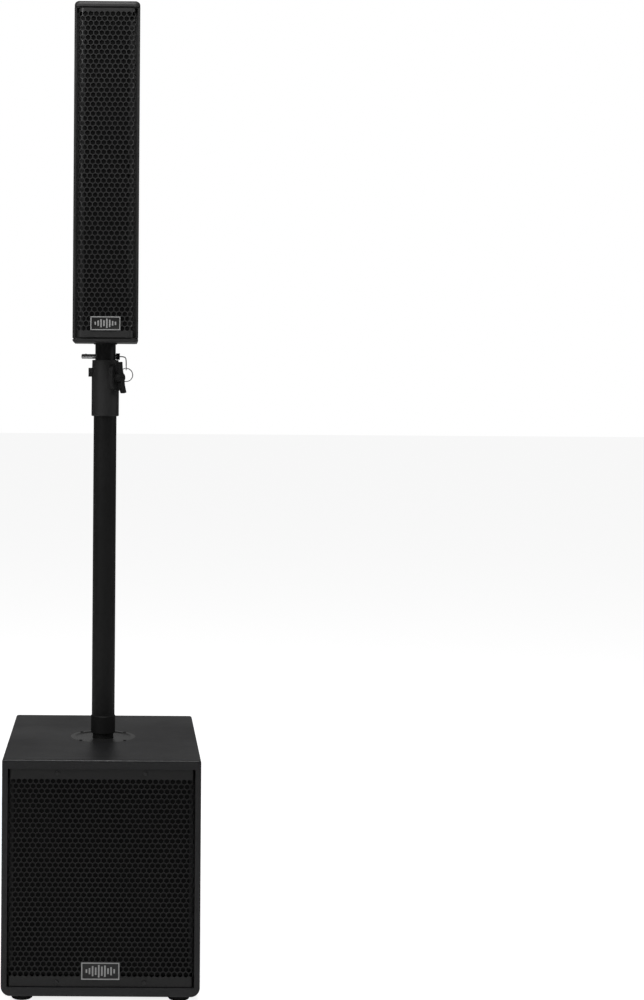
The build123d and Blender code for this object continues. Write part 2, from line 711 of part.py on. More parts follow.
with BuildPart() as clamp_knob:
    with BuildSketch(clamp_plane.offset(boss_reach + 0.4)):
        Circle(knob_hub_r)
    extrude(amount=11.0, taper=4)
    with BuildSketch(wing_plane):
        with BuildLine():
            Polyline((33.0, 0.0), (33.5, 12.0), (35.0, knob_span / 2), (knob_reach, knob_span / 2 - 2.0),
                     (42.0, 10.0), (41.5, 0.0), (42.0, -10.0), (knob_reach, 2.0 - knob_span / 2),
                     (35.0, -knob_span / 2), (33.5, -12.0), close=True)
        wings = make_face()
        fillet(wings.vertices(), 1.2)
    extrude(amount=4.0, both=True)
    with BuildSketch(clamp_plane.offset(mast_r + 3.6)):
        Circle(screw_r)
    extrude(amount=boss_reach - mast_r)
save(clamp_knob.part, "clamp_knob")

# ---------------------------------------------------------------- safety pin and its ring

with BuildPart() as safety_pin:
    with BuildSketch(Plane.YZ.offset(pin_left)):
        with Locations((0, pin_z)):
            Circle(pin_r)
    extrude(amount=pin_head_x - pin_left)
    chamfer(safety_pin.faces().sort_by(Axis.X)[0].edges(), 1.2)
    with Locations((-33.5, 0, pin_z + pin_r - 0.8)):
        Sphere(1.6)
save(safety_pin.part, "safety_pin")

with BuildPart() as pin_head:
    with BuildSketch(Plane.YZ.offset(pin_head_x)):
        with Locations((0, pin_z)):
            Circle(5.6)
    extrude(amount=6.5)
    chamfer(pin_head.edges(), 0.7)
    with BuildLine():
        FilletPolyline((pin_head_x + 6.5, 0, pin_z), (pin_head_x + 13.0, 0, pin_z),
                       (ring_eye_x, 0, ring_eye_z + 3.4), radius=3.5)
    with BuildSketch(Plane.YZ.offset(pin_head_x + 6.5)):
        with Locations((0, pin_z)):
            Circle(1.0)
    sweep()
    with BuildSketch(Plane.XY.offset(ring_eye_z)):
        with Locations((ring_eye_x, 2.6)):
            Circle(0.9)
    revolve(axis=Axis((ring_eye_x, 0, ring_eye_z), (1, 0, 0)))
save(pin_head.part, "pin_head")

with BuildPart() as pull_ring:
    with BuildSketch(Plane.XY.offset(ring_eye_z - ring_r)):
        with Locations((ring_eye_x + ring_r, 0)):
            Circle(ring_wire_r)
    revolve(axis=Axis((ring_eye_x, 0, ring_eye_z - ring_r), (0, 1, 0)))
save(pull_ring.part, "pull_ring")

# ---------------------------------------------------------------- column speaker

with BuildPart() as column_shell:
    with BuildSketch(Plane.XY.offset(shell_bottom)):
        outline = Rectangle(column_w, column_d)
        fillet(outline.vertices().group_by(Axis.Y)[-1], shell_edge_r)
        with Locations((0, -shell_wall)):
            Rectangle(2 * shell_inner_x, column_d, mode=Mode.SUBTRACT)
    extrude(amount=shell_top - shell_bottom)
    with Locations((0, column_front, (shell_bottom + shell_top) / 2)):
        Box(column_w, 5.0, shell_top - shell_bottom, mode=Mode.SUBTRACT)
    with Locations((0, column_back, connector_z)):
        Box(70.0, 2 * shell_wall, 90.0, mode=Mode.SUBTRACT)
save(column_shell.part, "column_shell")


def column_cap(outer_z, direction, height, corner_r, edge_r):
    """Moulded end cap with rounded corners, and a narrower neck that leaves a shadow gap."""
    with BuildPart() as cap:
        with BuildSketch(Plane.XY.offset(outer_z)):
            RectangleRounded(column_w, column_d, corner_r)
        extrude(amount=direction * height)
        fillet(cap.faces().sort_by(Axis.Z)[0 if direction > 0 else -1].edges(), edge_r)
        with BuildSketch(Plane.XY.offset(outer_z + direction * height)):
            RectangleRounded(column_w - 2 * neck_inset, column_d - 2 * neck_inset, 5.0)
        extrude(amount=direction * neck_h)
    return cap.part


save(column_cap(column_top, -1, top_cap_h, 9.0, 7.0), "column_top_cap")

with BuildPart() as column_bottom_cap:
    add(column_cap(column_bottom, 1, bottom_cap_h, 7.0, 3.0))
    add(rod(cup_r + fixed_gap, column_bottom, shell_bottom), mode=Mode.SUBTRACT)
save(column_bottom_cap.part, "column_bottom_cap")

with BuildPart() as column_cup:
    add(tube(cup_r, mast_r + running_gap, column_bottom, mast_top + 0.4))
    add(rod(cup_r, mast_top + 0.4, mast_top + 4.0))
    add(tube(19.8, mast_r + running_gap, column_bottom - 2.5, column_bottom))
    with BuildSketch(Plane.XY.offset(shell_bottom)):
        RectangleRounded(64.0, 64.0, 6.0)
        Circle(cup_r, mode=Mode.SUBTRACT)
    extrude(amount=3.0)
save(column_cup.part, "column_cup")

with BuildPart() as column_baffle:
    with Locations((0, column_baffle_front + 4.0, (shell_bottom + shell_top) / 2)):
        Box(2 * shell_inner_x, 8.0, shell_top - shell_bottom)
    with BuildSketch(facing((0, -1, 0), -column_baffle_front)):
        with Locations(*driver_places):
            Circle(driver_cutout_r)
        with Locations((0, horn_z)):
            Rectangle(84.0, 56.0)
    extrude(amount=-8.0, mode=Mode.SUBTRACT)
save(column_baffle.part, "column_baffle")

save(bent_grille(column_grille_w, column_front, column_baffle_front, column_bend_r,
                 shell_bottom + 0.5, shell_top - 0.5), "column_grille")

with BuildPart() as column_foam:
    with Locations((0, column_front + sheet + 0.2 + 1.5, (shell_bottom + shell_top) / 2)):
        Box(column_grille_w - 22.0, 3.0, shell_top - shell_bottom - 4.0)
save(column_foam.part, "column_foam")

save(badge(50.0, 23.0, shell_bottom + 24.0, column_front), "column_badge")


def at_each_driver(piece):
    """Repeat a driver's part, made at height 0, at every driver of the column."""
    with BuildPart() as group:
        for _, place_z in driver_places:
            add(piece.moved(Location((0, 0, place_z))))
    return group.part


save(at_each_driver(turned([(38.0, -2.6), (43.5, -2.6), (43.5, 0.0), (driver_cutout_r - 0.3, 0.0),
                            (driver_cutout_r - 0.3, 12.0), (24.0, 30.0), (14.0, 30.0), (14.0, 28.0),
                            (22.0, 28.0), (36.5, 11.0), (36.5, 0.0), (38.0, 0.0)],
                           column_baffle_front, 0.0)), "column_baskets")
save(at_each_driver(turned([(0.0, 10.0), (0.0, 9.0), (10.0, 10.0), (14.0, 13.0), (33.5, -0.5), (33.5, 0.8),
                            (12.5, 17.0), (12.5, 34.0), (11.8, 34.0), (11.8, 14.0), (9.5, 11.2)],
                           column_baffle_front, 0.0)), "column_cones")

with BuildPart() as column_horn:
    with BuildSketch(facing((0, -1, 0), -(column_baffle_front - 2.0))):
        with Locations((0, horn_z)):
            RectangleRounded(90.0, 68.0, 4.0)
    extrude(amount=-2.0)
    with BuildSketch(facing((0, -1, 0), -(column_baffle_front - 2.0))):
        with Locations((0, horn_z)):
            Rectangle(83.0, 55.0)
    with BuildSketch(facing((0, -1, 0), -(column_baffle_front + 34.0))):
        with Locations((0, horn_z)):
            Rectangle(22.0, 22.0)
    loft()
    with BuildSketch(facing((0, -1, 0), -(column_baffle_front - 2.0))):
        with Locations((0, horn_z)):
            Rectangle(77.0, 49.0)
    with BuildSketch(facing((0, -1, 0), -(column_baffle_front + 34.0))):
        with Locations((0, horn_z)):
            Rectangle(16.0, 16.0)
    loft(mode=Mode.SUBTRACT)
save(column_horn.part, "column_horn")

with BuildPart() as column_tweeter:
    with BuildSketch(facing((0, -1, 0), -(column_baffle_front + 34.2))):
        with Locations((0, horn_z)):
            Circle(27.0)
    extrude(amount=-24.0)
save(column_tweeter.part, "column_tweeter")

# ---------------------------------------------------------------- column rear connectors

column_behind = facing((0, 1, 0), column_back - 3.2)
with BuildPart() as column_plate:
    with BuildSketch(column_behind):
        with Locations((0, connector_z)):
            Rectangle(69.6, 89.6)
        with Locations((0, connector_z - 18.0), (0, connector_z + 18.0)):
            Circle(barrel_r, mode=Mode.SUBTRACT)
    extrude(amount=2.0)
save(column_plate.part, "column_plate")

with BuildPart() as column_sockets:
    for place_z in (connector_z - 18.0, connector_z + 18.0):
        with BuildSketch(column_behind):
            with Locations((0, place_z)):
                Circle(barrel_r)
        extrude(amount=-barrel_l)
        with BuildSketch(column_behind):
            with Locations((0, place_z)):
                Circle(9.6)
        extrude(amount=-16.0, mode=Mode.SUBTRACT)
        with BuildSketch(column_behind.offset(-16.0)):
            with Locations((0, place_z)):
                Circle(4.0)
        extrude(amount=13.0)
save(column_sockets.part, "column_sockets")
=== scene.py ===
import math

import bmesh
import bpy
from mathutils import Matrix, Vector


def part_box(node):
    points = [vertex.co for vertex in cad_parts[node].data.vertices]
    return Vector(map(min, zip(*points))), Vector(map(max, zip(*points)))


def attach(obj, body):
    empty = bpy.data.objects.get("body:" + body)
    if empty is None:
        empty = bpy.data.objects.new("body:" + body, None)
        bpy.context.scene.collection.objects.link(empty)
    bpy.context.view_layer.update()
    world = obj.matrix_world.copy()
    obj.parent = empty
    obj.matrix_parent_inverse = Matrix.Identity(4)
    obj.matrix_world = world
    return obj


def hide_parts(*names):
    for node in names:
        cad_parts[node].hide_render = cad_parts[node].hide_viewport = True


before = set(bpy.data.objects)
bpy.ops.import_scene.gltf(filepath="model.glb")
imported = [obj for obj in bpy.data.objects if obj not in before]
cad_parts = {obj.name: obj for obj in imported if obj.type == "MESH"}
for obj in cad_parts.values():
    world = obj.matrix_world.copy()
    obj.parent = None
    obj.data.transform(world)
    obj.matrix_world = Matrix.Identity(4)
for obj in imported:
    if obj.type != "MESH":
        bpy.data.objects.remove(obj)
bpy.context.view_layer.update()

# ---- Studio -------------------------------------------------------------------------------
# A pale seamless floor, a level camera at pole height, and large soft lights: left, above, right
# and behind. The one behind is mirrored by the cabinet's top, where the pole shows dark in it.

bpy.ops.object.select_all(action='DESELECT')
bpy.ops.mesh.primitive_plane_add(size=80.0, location=(0.0, 0.0, 0.0))
floor = bpy.context.object
floor.name = "studio_floor"
pale_paper = bpy.data.materials.new("pale_studio_paper")
pale_paper.use_nodes = True
paper_nodes = pale_paper.node_tree.nodes
paper_shader = paper_nodes["Principled BSDF"]
paper_shader.inputs["Roughness"].default_value = 0.9
paper_shader.inputs["Base Color"].default_value = (0.9, 0.9, 0.9, 1.0)
paper_shader.inputs["Emission Color"].default_value = (1.0, 1.0, 1.0, 1.0)
seen_directly = paper_nodes.new("ShaderNodeLightPath")
paper_glow = paper_nodes.new("ShaderNodeMath")
paper_glow.operation = 'MULTIPLY'
paper_glow.inputs[1].default_value = 0.85
pale_paper.node_tree.links.new(seen_directly.outputs["Is Camera Ray"], paper_glow.inputs[0])
pale_paper.node_tree.links.new(paper_glow.outputs[0], paper_shader.inputs["Emission Strength"])
floor.data.materials.append(pale_paper)

# The backdrop is white to the eye, but lights the black cabinet only as a dim room would.
studio_air = bpy.data.worlds.new("studio_air")
studio_air.use_nodes = True
air_nodes = studio_air.node_tree.nodes
air_path = air_nodes.new("ShaderNodeLightPath")
air_level = air_nodes.new("ShaderNodeMapRange")
air_level.inputs["To Min"].default_value = 0.09
air_level.inputs["To Max"].default_value = 1.0
studio_air.node_tree.links.new(air_path.outputs["Is Camera Ray"], air_level.inputs["Value"])
studio_air.node_tree.links.new(air_level.outputs["Result"], air_nodes["Background"].inputs["Strength"])
air_nodes["Background"].inputs["Color"].default_value = (1.0, 1.0, 1.0, 1.0)
bpy.context.scene.world = studio_air
bpy.context.scene.view_settings.view_transform = 'Standard'

bpy.ops.object.camera_add(location=(0.028, -3.065, 0.973),
                          rotation=(math.radians(90.0), math.radians(-0.38), 0.0))
camera = bpy.context.object
camera.name = "camera"
camera.data.lens = 64.73
camera.data.shift_x = 0.2003
camera.data.shift_y = -0.107
bpy.context.scene.camera = camera


def soft_light(name, place, aim, size, power):
    """A square softbox at a place, turned to face the point it is aimed at."""
    bpy.ops.object.light_add(type='AREA', location=place)
    lamp = bpy.context.object
    lamp.name = name
    lamp.rotation_euler = (Vector(aim) - Vector(place)).to_track_quat('-Z', 'Y').to_euler()
    lamp.data.size = size
    lamp.data.energy = power
    lamp.visible_camera = False
    return lamp


soft_light("softbox_left", (-2.2, -2.2, 2.8), (0.0, 0.0, 1.5), 1.2, 32.0)
soft_light("softbox_top", (0.0, -1.3, 3.4), (0.0, 0.0, 0.7), 1.4, 46.0)
soft_light("softbox_right", (2.6, -0.4, 1.8), (0.0, 0.0, 1.3), 0.9, 5.0)
soft_light("softbox_back", (0.0, 2.8, 1.3), (0.0, 0.0, 0.6), 3.0, 3.2)

# ---- Cabinet boards -----------------------------------------------------------------------
# Birch plywood boards, glued and screwed, rounded over with a router and sprayed all over
# with a hard black paint that dries in small pebbles. The inside of the box is the same.


def new_group(name, inputs, outputs):
    """A shader node group with its sockets and its two end nodes."""
    group = bpy.data.node_groups.new(name, "ShaderNodeTree")
    for label, kind in inputs:
        group.interface.new_socket(name=label, in_out='INPUT', socket_type=kind)
    for label, kind in outputs:
        group.interface.new_socket(name=label, in_out='OUTPUT', socket_type=kind)
    return group, group.nodes.new("NodeGroupInput"), group.nodes.new("NodeGroupOutput")


def pebble_grain_group():
    """Small pebbles over the surface: a mottled colour, an uneven sheen and their relief."""
    group, given, result = new_group(
        "pebble_grain",
        [("Scale", "NodeSocketFloat"), ("Relief", "NodeSocketFloat"),
         ("Dark", "NodeSocketColor"), ("Light", "NodeSocketColor"),
         ("Smooth", "NodeSocketFloat"), ("Rough", "NodeSocketFloat")],
        [("Color", "NodeSocketColor"), ("Roughness", "NodeSocketFloat"), ("Normal", "NodeSocketVector")])
    link = group.links.new
    place = group.nodes.new("ShaderNodeTexCoord")
    pebbles = group.nodes.new("ShaderNodeTexVoronoi")
    pebbles.feature = 'SMOOTH_F1'
    pebbles.inputs["Smoothness"].default_value = 0.6
    mottle = group.nodes.new("ShaderNodeTexNoise")
    mottle.inputs["Detail"].default_value = 4.0
    coarse = group.nodes.new("ShaderNodeMath")
    coarse.operation = 'MULTIPLY'
    coarse.inputs[1].default_value = 0.21
    clouds = group.nodes.new("ShaderNodeTexNoise")
    clouds.inputs["Scale"].default_value = 7.0
    clouds.inputs["Detail"].default_value = 3.0
    for texture in (pebbles, mottle, clouds):
        link(place.outputs["Object"], texture.inputs["Vector"])
    link(given.outputs["Scale"], pebbles.inputs["Scale"])
    link(given.outputs["Scale"], coarse.inputs[0])
    link(coarse.outputs[0], mottle.inputs["Scale"])
    height = group.nodes.new("ShaderNodeMath")
    height.operation = 'ADD'
    link(pebbles.outputs["Distance"], height.inputs[0])
    link(mottle.outputs["Fac"], height.inputs[1])
    bump = group.nodes.new("ShaderNodeBump")
    link(given.outputs["Relief"], bump.inputs["Distance"])
    link(height.outputs[0], bump.inputs["Height"])
    link(bump.outputs["Normal"], result.inputs["Normal"])
    tone = group.nodes.new("ShaderNodeMapRange")
    tone.inputs["From Min"].default_value = 0.35
    tone.inputs["From Max"].default_value = 1.05
    link(height.outputs[0], tone.inputs["Value"])
    colour = group.nodes.new("ShaderNodeMix")
    colour.data_type = 'RGBA'
    link(tone.outputs["Result"], colour.inputs["Factor"])
    link(given.outputs["Light"], colour.inputs["A"])
    link(given.outputs["Dark"], colour.inputs["B"])
    link(colour.outputs["Result"], result.inputs["Color"])
    sheen = group.nodes.new("ShaderNodeMapRange")
    sheen.inputs["From Min"].default_value = 0.3
    sheen.inputs["From Max"].default_value = 0.7
    link(clouds.outputs["Fac"], sheen.inputs["Value"])
    link(given.outputs["Smooth"], sheen.inputs["To Min"])
    link(given.outputs["Rough"], sheen.inputs["To Max"])
    link(sheen.outputs["Result"], result.inputs["Roughness"])
    return group


pebble_grain = pebble_grain_group()


def grained(name, dark, light, rough, scale, relief, metallic=0.0, specular=0.5):
    """A finish with pebble grain: two greys or colours, a roughness range, and grain per metre."""
    material = bpy.data.materials.new(name)
    material.use_nodes = True
    nodes = material.node_tree.nodes
    shader = nodes["Principled BSDF"]
    shader.inputs["Metallic"].default_value = metallic
    shader.inputs["Specular IOR Level"].default_value = specular
    grain = nodes.new("ShaderNodeGroup")
    grain.node_tree = pebble_grain
    grain.inputs["Scale"].default_value = scale
    grain.inputs["Relief"].default_value = relief
    grain.inputs["Dark"].default_value = (*dark, 1.0)
    grain.inputs["Light"].default_value = (*light, 1.0)
    grain.inputs["Smooth"].default_value = rough[0]
    grain.inputs["Rough"].default_value = rough[1]
    for output, socket in (("Color", "Base Color"), ("Roughness", "Roughness"), ("Normal", "Normal")):
        material.node_tree.links.new(grain.outputs[output], shader.inputs[socket])
    return material


def refinish(material, *names):
    """Give carried-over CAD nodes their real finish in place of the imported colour."""
    for name in names:
        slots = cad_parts[name].data.materials
        slots.clear()
        slots.append(material)


def grey(level):
    """The same value in all three channels."""
    return (level, level, level)


cabinet_paint = grained("pebbled_cabinet_paint", (0.011, 0.011, 0.012), (0.023, 0.023, 0.024),
                        (0.34, 0.48), 900.0, 0.0002)
refinish(cabinet_paint, "sub_top_panel", "sub_bottom_panel", "sub_left_panel", "sub_right_panel",
         "sub_rear_panel", "sub_front_baffle")

# ---- Rubber feet --------------------------------------------------------------------------
# Four moulded rubber feet, tapered towards the floor and held by a screw up through a recess.
# They are dull.

foot_rubber = grained("moulded_foot_rubber", grey(0.010), grey(0.020), (0.72, 0.90), 1400.0, 0.0001,
                      specular=0.35)
refinish(foot_rubber, "sub_feet", "woofer_surround")

# ---- Pole socket --------------------------------------------------------------------------
# A dish pressed from steel and painted satin black, let into the top board round the bore.
# Poles have rubbed it smooth, so it is glossier than the paint round it.

dish_steel = grained("satin_dish_steel", grey(0.014), grey(0.030), (0.20, 0.38), 2600.0, 0.00002,
                     specular=0.7)
refinish(dish_steel, "pole_socket", "column_cup")

# ---- Side handles -------------------------------------------------------------------------
# Moulded pockets with a bar across, dropped into the side boards and held by four screws.
# The moulding has a fine spark-eroded grain.

moulded_black = grained("fine_grained_moulding", grey(0.014), grey(0.026), (0.46, 0.62), 2200.0, 0.00006)
refinish(moulded_black, "left_handle", "right_handle", "sub_port_tubes")

# ---- Cabinet screws -----------------------------------------------------------------------
# Blackened pan-head screws with a cross recess: four round the dish and four in each handle.
# One head is made, then copied to every place with its own mesh.


def clear_selection():
    """Nothing selected, so that an operator acts only on the next piece."""
    bpy.ops.object.select_all(action='DESELECT')


def apply_modifier(kind, **settings):
    """Give the active piece a modifier with these settings and apply it at once."""
    bpy.ops.object.modifier_add(type=kind)
    modifier = bpy.context.object.modifiers[-1]
    for setting, value in settings.items():
        setattr(modifier, setting, value)
    bpy.ops.object.modifier_apply(modifier=modifier.name)


def select_faces(wanted):
    """In edit mode, select just the faces whose centre and normal pass the test."""
    bpy.ops.mesh.select_mode(type='FACE')
    bpy.ops.mesh.select_all(action='DESELECT')
    mesh = bpy.context.object.data
    shape = bmesh.from_edit_mesh(mesh)
    for face in shape.faces:
        face.select_set(wanted(face.calc_center_median(), face.normal))
    bmesh.update_edit_mesh(mesh)


def join_pieces(pieces):
    """Make one piece of several, and leave it active."""
    clear_selection()
    for piece in pieces:
        piece.select_set(True)
    bpy.context.view_layer.objects.active = pieces[0]
    if len(pieces) > 1:
        bpy.ops.object.join()
    return bpy.context.object


def complete(piece, name, material, body, crease=35.0):
    """Name a finished piece, put its place in its mesh, and give it its finish and its body."""
    clear_selection()
    piece.select_set(True)
    bpy.context.view_layer.objects.active = piece
    bpy.ops.object.transform_apply(location=True, rotation=True, scale=True)
    bpy.ops.object.shade_smooth_by_angle(angle=math.radians(crease))
    piece.name = name
    if material is not None:
        piece.data.materials.clear()
        piece.data.materials.append(material)
    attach(piece, body)
    return piece


def copies_at(model, places, outward):
    """Copy a piece made at the origin facing +Z to each place, turned to face outward."""
    turn = Vector(outward).to_track_quat('Z', 'Y').to_matrix().to_4x4()
    made = []
    for place in places:
        copy = model.copy()
        copy.data = model.data.copy()
        bpy.context.collection.objects.link(copy)
        copy.data.transform(Matrix.Translation(place) @ turn)
        made.append(copy)
    return made


def pan_head(radius, height):
    """A domed screw head standing on the origin, with a cross recess sunk in its top."""
    clear_selection()
    bpy.ops.mesh.primitive_cylinder_add(vertices=20, radius=radius, depth=height,
                                        location=(0.0, 0.0, height / 2))
    head = bpy.context.object
    bpy.ops.object.transform_apply(location=True, rotation=True, scale=True)
    bpy.ops.object.mode_set(mode='EDIT')
    select_faces(lambda centre, normal: normal.z > 0.9)
    bpy.ops.mesh.bevel(offset=height * 0.45, segments=3, affect='EDGES')
    bpy.ops.object.mode_set(mode='OBJECT')
    for across in ((1.15, 0.26), (0.26, 1.15)):
        clear_selection()
        bpy.ops.mesh.primitive_cube_add(size=1.0, location=(0.0, 0.0, height),
                                        scale=(radius * across[0], radius * across[1], height * 1.1))
        slot_cutter = bpy.context.object
        clear_selection()
        head.select_set(True)
        bpy.context.view_layer.objects.active = head
        apply_modifier('BOOLEAN', operation='DIFFERENCE', object=slot_cutter, solver='EXACT')
        bpy.data.objects.remove(slot_cutter)
    return head


screw_black = grained("blackened_screw_steel", grey(0.020), grey(0.045), (0.26, 0.44), 3000.0, 0.00001,
                      metallic=0.7)


def screw_set(name, node, body, sets, material=screw_black):
    """Replace a node's plain screws. Each set is (places, outward, head radius, head height)."""
    made = []
    for places, outward, radius, height in sets:
        model = pan_head(radius, height)
        made += copies_at(model, places, outward)
        bpy.data.objects.remove(model)
    screws = complete(join_pieces(made), name, material, body)
    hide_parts(node)


cabinet_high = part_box("sub_right_panel")[1]
cabinet_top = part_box("sub_top_panel")[1][2]
dish_screw_ring = 0.0522 * math.sqrt(0.5)
handle_low, handle_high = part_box("right_handle")
handle_mid = (handle_low[2] + handle_high[2]) / 2
dish_screws = [(x, y, cabinet_top) for x in (-dish_screw_ring, dish_screw_ring)
               for y in (-dish_screw_ring, dish_screw_ring)]
cabinet_screw_sets = [(dish_screws, (0.0, 0.0, 1.0), 0.0027, 0.0009)]
for side in (-1.0, 1.0):
    handle_screws = [(side * (cabinet_high[0] - 0.0016), y, handle_mid + z)
                     for y in (-0.0835, 0.0835) for z in (-0.026, 0.026)]
    cabinet_screw_sets.append((handle_screws, (side, 0.0, 0.0), 0.0033, 0.0014))
screw_set("cabinet_cross_head_screws", "cabinet_screws", "cabinet", cabinet_screw_sets)

# ---- Woofer -------------------------------------------------------------------------------
# A ten-inch driver: painted cast frame, coated paper cone, rubber surround and ferrite magnet,
# bolted to the front baffle from the front. It sits behind the grille.

cast_black = grained("painted_casting", grey(0.012), grey(0.028), (0.38, 0.58), 1500.0, 0.00008)
coated_paper = grained("coated_cone_paper", grey(0.014), grey(0.034), (0.60, 0.82), 2000.0, 0.00010)
ferrite_grey = grained("ferrite_and_plate", grey(0.050), grey(0.110), (0.42, 0.66), 1200.0, 0.00005,
                       metallic=0.4)
refinish(cast_black, "woofer_basket", "column_baskets")
refinish(coated_paper, "woofer_cone", "column_cones")
refinish(ferrite_grey, "woofer_magnet", "column_tweeter")
refinish(screw_black, "woofer_screws")

# ---- Subwoofer grille ---------------------------------------------------------------------
# Steel sheet punched with hexagonal holes in staggered rows, bent back down both long sides
# and powder coated. Plain strips are left along its top and bottom for four dark screws,
# whose paler colour is a painted highlight.


def perforated_grille(name, node, body, pitch, web, rows, strip_low, bend, material):
    """A punched sheet the size of its CAD node: rings in rows, plain strips, then the bends."""
    low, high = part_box(node)
    face_y, thickness = low[1], 0.0012
    flat_half = (high[0] - low[0]) / 2 - bend
    arc = bend * math.pi / 2
    half = flat_half + arc + (high[1] - low[1] - bend)
    corner, row_pitch = pitch / math.sqrt(3.0), pitch * math.sqrt(3.0) / 2
    columns = int(2 * half / pitch) + 4
    first_z = low[2] + strip_low + corner
    last_z = first_z + (rows - 1) * row_pitch
    clear_selection()
    bpy.ops.mesh.primitive_circle_add(vertices=6, radius=corner, fill_type='NGON',
                                      location=(-pitch * (columns // 2), face_y, first_z),
                                      rotation=(math.pi / 2, 0.0, 0.0))
    sheet = bpy.context.object
    bpy.ops.object.transform_apply(location=True, rotation=True, scale=True)
    bpy.ops.object.mode_set(mode='EDIT')
    bpy.ops.mesh.select_mode(type='FACE')
    bpy.ops.mesh.select_all(action='SELECT')
    bpy.ops.mesh.inset(thickness=web / 2)
    bpy.ops.mesh.delete(type='FACE')
    bpy.ops.mesh.select_all(action='SELECT')
    bpy.ops.mesh.duplicate()
    bpy.ops.transform.translate(value=(pitch / 2, 0.0, row_pitch))
    bpy.ops.object.mode_set(mode='OBJECT')
    apply_modifier('ARRAY', count=columns, use_relative_offset=False, use_constant_offset=True,
                   constant_offset_displace=(pitch, 0.0, 0.0))
    apply_modifier('ARRAY', count=(rows + 1) // 2, use_relative_offset=False, use_constant_offset=True,
                   constant_offset_displace=(0.0, 0.0, 2 * row_pitch))
    bpy.ops.object.mode_set(mode='EDIT')
    select_faces(lambda centre, normal: centre.z > last_z + row_pitch / 2)
    bpy.ops.mesh.delete(type='FACE')
    bpy.ops.mesh.select_all(action='SELECT')
    bpy.ops.mesh.remove_doubles(threshold=0.00005)
    for edge_z, inside, up in ((low[2], first_z - corner * 0.49, -1.0),
                               (high[2], last_z + corner * 0.49, 1.0)):
        bpy.ops.mesh.select_mode(type='EDGE')
        bpy.ops.mesh.select_all(action='DESELECT')
        shape = bmesh.from_edit_mesh(sheet.data)
        for edge in shape.edges:
            beyond = all((point.co.z - inside) * up > 0.0 for point in edge.verts)
            edge.select_set(edge.is_boundary and beyond)
        bmesh.update_edit_mesh(sheet.data)
        bpy.ops.mesh.extrude_edges_move(TRANSFORM_OT_translate={"value": (0.0, 0.0, up * 0.001)})
        bpy.ops.transform.resize(value=(1.0, 1.0, 0.0), center_override=(0.0, 0.0, edge_z))
    for side in (-1.0, 1.0):
        bpy.ops.mesh.select_all(action='SELECT')
        bpy.ops.mesh.bisect(plane_co=(side * half, 0.0, 0.0), plane_no=(side, 0.0, 0.0), clear_outer=True)
        for step in range(5):
            bpy.ops.mesh.select_all(action='SELECT')
            bpy.ops.mesh.bisect(plane_co=(side * (flat_half + arc * step / 4), 0.0, 0.0),
                                plane_no=(side, 0.0, 0.0))
    bpy.ops.object.mode_set(mode='OBJECT')
    for point in sheet.data.vertices:
        side, run = math.copysign(1.0, point.co.x), abs(point.co.x) - flat_half
        if run > 0.0:
            turn = min(run, arc) / bend
            point.co.x = side * (flat_half + bend * math.sin(turn))
            point.co.y = face_y + bend * (1.0 - math.cos(turn)) + max(0.0, run - arc)
    apply_modifier('SOLIDIFY', thickness=thickness, offset=-1.0)
    apply_modifier('BEVEL', width=0.00028, segments=1, limit_method='ANGLE', angle_limit=math.radians(75.0))
    complete(sheet, name, material, body, crease=30.0)
    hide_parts(node)
    return sheet


grille_coat = grained("grille_powder_coat", grey(0.008), grey(0.017), (0.34, 0.48), 3200.0, 0.00003,
                      specular=0.5)
perforated_grille("sub_grille_mesh", "sub_grille", "cabinet", 0.0091, 0.0016, 40, 0.0145, 0.005, grille_coat)

grille_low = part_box("sub_grille")[0]
grille_bolts_low, grille_bolts_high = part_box("sub_grille_screws")
grille_bolt_x, grille_bolt_r = 0.070, 0.0036
grille_bolts = [(x, grille_low[1], z) for x in (-grille_bolt_x, grille_bolt_x)
                for z in (grille_bolts_low[2] + grille_bolt_r, grille_bolts_high[2] - grille_bolt_r)]
# These screws are painted paler than the other black screws: a painted highlight on their heads.
screw_painted_glint = grained("dark_screw_painted_glint", grey(0.045), grey(0.085), (0.24, 0.36), 2400.0, 0.00001, metallic=0.8)
screw_set("sub_grille_cross_head_screws", "sub_grille_screws", "cabinet",
          [(grille_bolts, (0.0, -1.0, 0.0), grille_bolt_r, 0.0018)], screw_painted_glint)

# ---- Grille foam --------------------------------------------------------------------------
# Thin sheets of open-cell foam glued behind each grille to keep dust out. The surface is
# very slightly wavy, and full of fine cells.


def foam_cell_group():
    """Open cells: paler cell edges, and pits painted darker as painted shade, with their relief."""
    group, given, result = new_group(
        "foam_cells", [("Scale", "NodeSocketFloat"), ("Relief", "NodeSocketFloat")],
        [("Color", "NodeSocketColor"), ("Normal", "NodeSocketVector")])
    link = group.links.new
    place = group.nodes.new("ShaderNodeTexCoord")
    cells = group.nodes.new("ShaderNodeTexVoronoi")
    cells.feature = 'DISTANCE_TO_EDGE'
    link(place.outputs["Object"], cells.inputs["Vector"])
    link(given.outputs["Scale"], cells.inputs["Scale"])
    pit_depth_and_shade = group.nodes.new("ShaderNodeMapRange")
    pit_depth_and_shade.inputs["From Max"].default_value = 0.16
    link(cells.outputs["Distance"], pit_depth_and_shade.inputs["Value"])
    # The sunken pits are darkened as painted shade inside the cells.
    colour = group.nodes.new("ShaderNodeMix")
    colour.data_type = 'RGBA'
    colour.inputs["A"].default_value = (0.012, 0.012, 0.012, 1.0)
    colour.inputs["B"].default_value = (0.003, 0.003, 0.003, 1.0)
    link(pit_depth_and_shade.outputs["Result"], colour.inputs["Factor"])
    link(colour.outputs["Result"], result.inputs["Color"])
    bump = group.nodes.new("ShaderNodeBump")
    bump.invert = True
    link(given.outputs["Relief"], bump.inputs["Distance"])
    link(pit_depth_and_shade.outputs["Result"], bump.inputs["Height"])
    link(bump.outputs["Normal"], result.inputs["Normal"])
    return group


